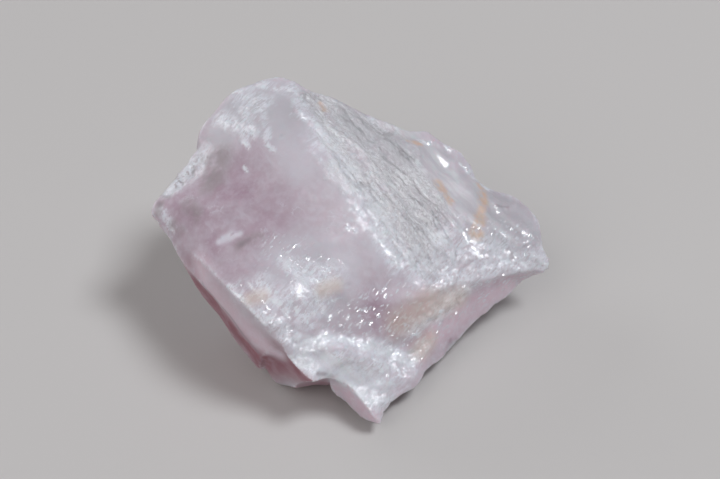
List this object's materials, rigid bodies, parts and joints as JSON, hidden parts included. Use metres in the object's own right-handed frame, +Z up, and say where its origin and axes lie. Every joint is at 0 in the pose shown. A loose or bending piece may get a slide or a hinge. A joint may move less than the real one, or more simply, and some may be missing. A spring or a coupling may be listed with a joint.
{
  "type": "rough rose quartz specimen",
  "caption": "Rough broken chunk of milky pink rose quartz with smooth, striated and sugary fracture faces, a pointed prong and a small flat spot to lie on.",
  "frame": {"origin": "middle of the stone's outline, on the plane of the flat spot that it rests on", "axes": "+Z up, away from the flat spot; +X along the longest extent, towards the narrow end; -Y towards the prong"},
  "size_m": [0.0672, 0.0544, 0.0333],
  "materials": {
    "rose_quartz": "raw, milky translucent pink with frosted and sugary breaks"
  },
  "bodies": {
    "root": {"rose_quartz": "rose_quartz"}
  },
  "joints": []
}
